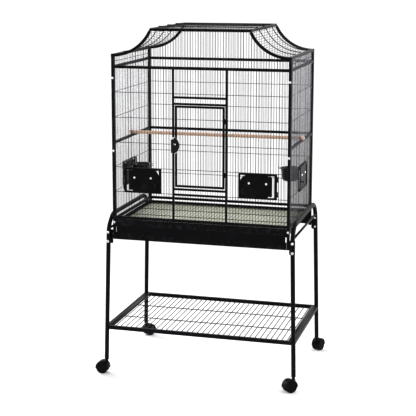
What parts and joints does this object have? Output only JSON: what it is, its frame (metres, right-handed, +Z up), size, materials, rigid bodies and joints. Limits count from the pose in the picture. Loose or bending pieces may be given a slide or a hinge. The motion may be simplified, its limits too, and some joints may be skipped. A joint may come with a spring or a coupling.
{
  "type": "bird cage on stand",
  "caption": "Tall wire flight cage with curved roof, hinged doors with cups, slide-out grate and tray, on a wheeled stand with a shelf.",
  "frame": {"origin": "on the floor, under the middle of the cage", "axes": "+X to the right seen from the door side, +Y to the back, +Z up"},
  "size_m": [0.9766, 0.7007, 1.6147],
  "materials": {
    "powder_coat": "black satin powder coat",
    "chrome_fasteners": "bright plated",
    "black_plastic": "moulded, lightly glossy",
    "olive_tray": "pale greyish olive enamel",
    "cup_plastic": "dark olive black",
    "clip_steel": "dark plated",
    "caster_plastic": "black moulded nylon",
    "wheel_rubber": "black",
    "perch_wood": "pale sanded dowel"
  },
  "bodies": {
    "cage": {"front_panel": "powder_coat", "rear_panel": "powder_coat", "left_panel": "powder_coat", "right_panel": "powder_coat", "front_gable": "powder_coat", "rear_gable": "powder_coat", "roof_top": "powder_coat", "roof_left": "powder_coat", "roof_right": "powder_coat", "rear_apron": "powder_coat", "left_runner": "powder_coat", "right_runner": "powder_coat", "left_arch": "powder_coat", "right_arch": "powder_coat", "stand_brackets": "powder_coat", "shelf": "powder_coat", "shelf_brackets": "powder_coat", "door_hinge_pins": "chrome_fasteners", "leg_screws": "chrome_fasteners", "panel_bolts": "chrome_fasteners", "shelf_screws": "chrome_fasteners", "caster_sockets": "caster_plastic", "perch": "perch_wood"},
    "main_door": {"main_door": "powder_coat", "latch_plate": "chrome_fasteners", "latch_body": "black_plastic", "latch_screw": "chrome_fasteners"},
    "door_latch": {"latch_lever": "black_plastic"},
    "front_left_feeder": {"front_left_feeder_door": "powder_coat", "front_left_feeder_cup_ring": "powder_coat", "front_left_feeder_bolts": "chrome_fasteners"},
    "front_left_feeder_cup": {"front_left_feeder_cup": "cup_plastic"},
    "front_left_feeder_clip": {"front_left_feeder_clip": "clip_steel"},
    "front_right_feeder": {"front_right_feeder_door": "powder_coat", "front_right_feeder_cup_ring": "powder_coat", "front_right_feeder_bolts": "chrome_fasteners"},
    "front_right_feeder_cup": {"front_right_feeder_cup": "cup_plastic"},
    "front_right_feeder_clip": {"front_right_feeder_clip": "clip_steel"},
    "right_feeder": {"right_feeder_door": "powder_coat", "right_feeder_cup_ring": "powder_coat", "right_feeder_bolts": "chrome_fasteners"},
    "right_feeder_cup": {"right_feeder_cup": "cup_plastic"},
    "right_feeder_clip": {"right_feeder_clip": "clip_steel"},
    "left_feeder": {"left_feeder_door": "powder_coat", "left_feeder_cup_ring": "powder_coat", "left_feeder_bolts": "chrome_fasteners"},
    "left_feeder_cup": {"left_feeder_cup": "cup_plastic"},
    "left_feeder_clip": {"left_feeder_clip": "clip_steel"},
    "caster_front_left": {"caster_front_left_body": "caster_plastic"},
    "wheels_front_left": {"caster_front_left_wheels": "wheel_rubber"},
    "caster_front_right": {"caster_front_right_body": "caster_plastic"},
    "wheels_front_right": {"caster_front_right_wheels": "wheel_rubber"},
    "caster_rear_right": {"caster_rear_right_body": "caster_plastic"},
    "wheels_rear_right": {"caster_rear_right_wheels": "wheel_rubber"},
    "caster_rear_left": {"caster_rear_left_body": "caster_plastic"},
    "wheels_rear_left": {"caster_rear_left_wheels": "wheel_rubber"},
    "grate": {"grate": "powder_coat"},
    "tray": {"tray": "olive_tray", "tray_front": "powder_coat"}
  },
  "joints": [
    {"name": "main_door_hinge", "type": "hinge", "parent": "cage", "child": "main_door", "pos_m": [0.121, -0.2777, 1.085], "axis": [0, 0, 1], "range_deg": [0, 120]},
    {"name": "door_latch_turn", "type": "hinge", "parent": "main_door", "child": "door_latch", "pos_m": [-0.111, -0.2834, 1.097], "axis": [0, 1, 0], "range_deg": [0, 90]},
    {"name": "front_left_feeder_hinge", "type": "hinge", "parent": "cage", "child": "front_left_feeder", "pos_m": [-0.3575, -0.2767, 0.9225], "axis": [0, 0, -1], "range_deg": [0, 110]},
    {"name": "front_left_feeder_cup_lift", "type": "slide", "parent": "front_left_feeder", "child": "front_left_feeder_cup", "axis": [0, 0, 1], "range_m": [0, 0.08]},
    {"name": "front_left_feeder_clip_turn", "type": "hinge", "parent": "front_left_feeder", "child": "front_left_feeder_clip", "pos_m": [-0.203, -0.2812, 0.908], "axis": [0, -1, 0], "range_deg": [-90, 90]},
    {"name": "front_right_feeder_hinge", "type": "hinge", "parent": "cage", "child": "front_right_feeder", "pos_m": [0.3575, -0.2767, 0.9225], "axis": [0, 0, 1], "range_deg": [0, 110]},
    {"name": "front_right_feeder_cup_lift", "type": "slide", "parent": "front_right_feeder", "child": "front_right_feeder_cup", "axis": [0, 0, 1], "range_m": [0, 0.08]},
    {"name": "front_right_feeder_clip_turn", "type": "hinge", "parent": "front_right_feeder", "child": "front_right_feeder_clip", "pos_m": [0.203, -0.2812, 0.908], "axis": [0, -1, 0], "range_deg": [-90, 90]},
    {"name": "right_feeder_hinge", "type": "hinge", "parent": "cage", "child": "right_feeder", "pos_m": [0.4139, 0.126, 0.9225], "axis": [0, 0, 1], "range_deg": [0, 110]},
    {"name": "right_feeder_cup_lift", "type": "slide", "parent": "right_feeder", "child": "right_feeder_cup", "axis": [0, 0, 1], "range_m": [0, 0.08]},
    {"name": "right_feeder_clip_turn", "type": "hinge", "parent": "right_feeder", "child": "right_feeder_clip", "pos_m": [0.4184, -0.0285, 0.908], "axis": [1, 0, 0], "range_deg": [-90, 90]},
    {"name": "left_feeder_hinge", "type": "hinge", "parent": "cage", "child": "left_feeder", "pos_m": [-0.4139, -0.126, 0.9225], "axis": [0, 0, 1], "range_deg": [0, 110]},
    {"name": "left_feeder_cup_lift", "type": "slide", "parent": "left_feeder", "child": "left_feeder_cup", "axis": [0, 0, 1], "range_m": [0, 0.08]},
    {"name": "left_feeder_clip_turn", "type": "hinge", "parent": "left_feeder", "child": "left_feeder_clip", "pos_m": [-0.4184, 0.0285, 0.908], "axis": [-1, 0, 0], "range_deg": [-90, 90]},
    {"name": "caster_front_left_swivel", "type": "hinge", "parent": "cage", "child": "caster_front_left", "pos_m": [-0.4442, -0.2963, 0.06], "axis": [0, 0, 1], "continuous": true},
    {"name": "wheels_front_left_roll", "type": "hinge", "parent": "caster_front_left", "child": "wheels_front_left", "pos_m": [-0.4642, -0.2963, 0.028], "axis": [0, -1, 0], "continuous": true},
    {"name": "caster_front_right_swivel", "type": "hinge", "parent": "cage", "child": "caster_front_right", "pos_m": [0.4442, -0.2963, 0.06], "axis": [0, 0, 1], "continuous": true},
    {"name": "wheels_front_right_roll", "type": "hinge", "parent": "caster_front_right", "child": "wheels_front_right", "pos_m": [0.43056, -0.31093, 0.028], "axis": [0.7314, -0.682, 0], "continuous": true},
    {"name": "caster_rear_right_swivel", "type": "hinge", "parent": "cage", "child": "caster_rear_right", "pos_m": [0.4442, 0.2963, 0.06], "axis": [0, 0, 1], "continuous": true},
    {"name": "wheels_rear_right_roll", "type": "hinge", "parent": "caster_rear_right", "child": "wheels_rear_right", "pos_m": [0.45038, 0.31532, 0.028], "axis": [-0.9511, 0.309, 0], "continuous": true},
    {"name": "caster_rear_left_swivel", "type": "hinge", "parent": "cage", "child": "caster_rear_left", "pos_m": [-0.4442, 0.2963, 0.06], "axis": [0, 0, 1], "continuous": true},
    {"name": "wheels_rear_left_roll", "type": "hinge", "parent": "caster_rear_left", "child": "wheels_rear_left", "pos_m": [-0.4342, 0.31362, 0.028], "axis": [-0.866, 0.5, 0], "continuous": true},
    {"name": "grate_slide", "type": "slide", "parent": "cage", "child": "grate", "axis": [0, -1, 0], "range_m": [0, 0.48]},
    {"name": "tray_slide", "type": "slide", "parent": "cage", "child": "tray", "axis": [0, -1, 0], "range_m": [0, 0.48]}
  ]
}
